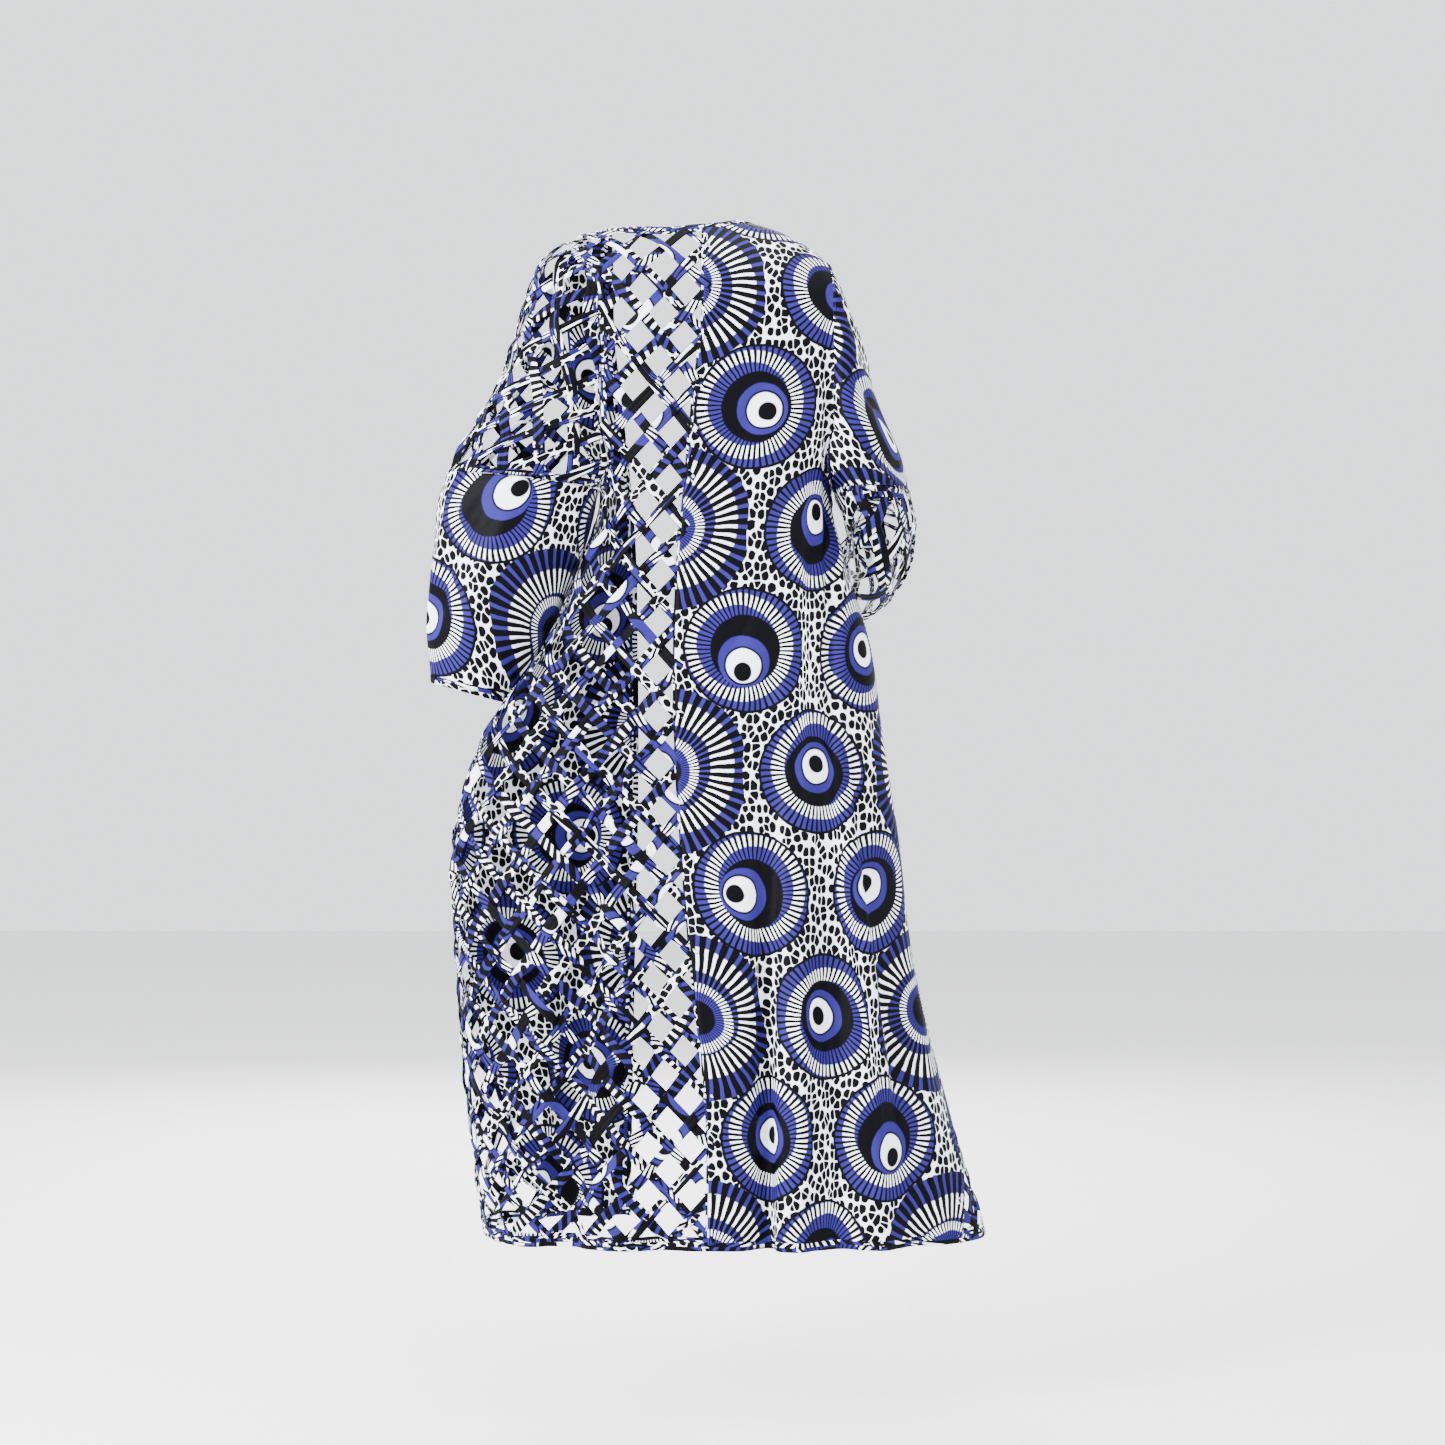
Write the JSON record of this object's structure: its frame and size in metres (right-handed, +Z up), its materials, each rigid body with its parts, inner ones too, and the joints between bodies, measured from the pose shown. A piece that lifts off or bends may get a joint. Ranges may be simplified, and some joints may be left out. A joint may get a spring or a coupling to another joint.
{
  "type": "duster coat",
  "caption": "Long open-front duster coat with kimono sleeves in blue, black and white wax-print cotton, whole panels alternating with open lattice of folded bias strips",
  "frame": {"origin": "between the wearer's shoulders, at the height of the neckline at the back", "axes": "+X towards the wearer's left, +Y out of the back of the coat, +Z up; the open front faces -Y"},
  "size_m": [0.728, 0.4082, 1.3145],
  "materials": {
    "printed_cotton": "plain-weave wax-print cotton with a slight sheen",
    "lattice_strips": "folded bias strips of the same cotton, pressed",
    "bias_binding": "folded bias binding of the same cotton"
  },
  "bodies": {
    "root": {"back_left_lattice": "lattice_strips", "back_right_panel": "printed_cotton", "front_left_panel": "printed_cotton", "front_right_lattice": "lattice_strips", "left_sleeve_upper_back": "lattice_strips", "left_sleeve_upper_front": "lattice_strips", "left_sleeve_lower": "printed_cotton", "left_cuff_binding": "bias_binding", "right_sleeve_upper": "printed_cotton", "right_sleeve_lower_back": "lattice_strips", "right_sleeve_lower_front": "lattice_strips", "right_cuff_binding": "bias_binding", "neck_binding": "bias_binding", "front_binding_left": "bias_binding", "front_binding_right": "bias_binding", "hem_binding_back_left": "bias_binding", "hem_binding_back_right": "bias_binding", "hem_binding_front_left": "bias_binding", "hem_binding_front_right": "bias_binding"}
  },
  "joints": []
}
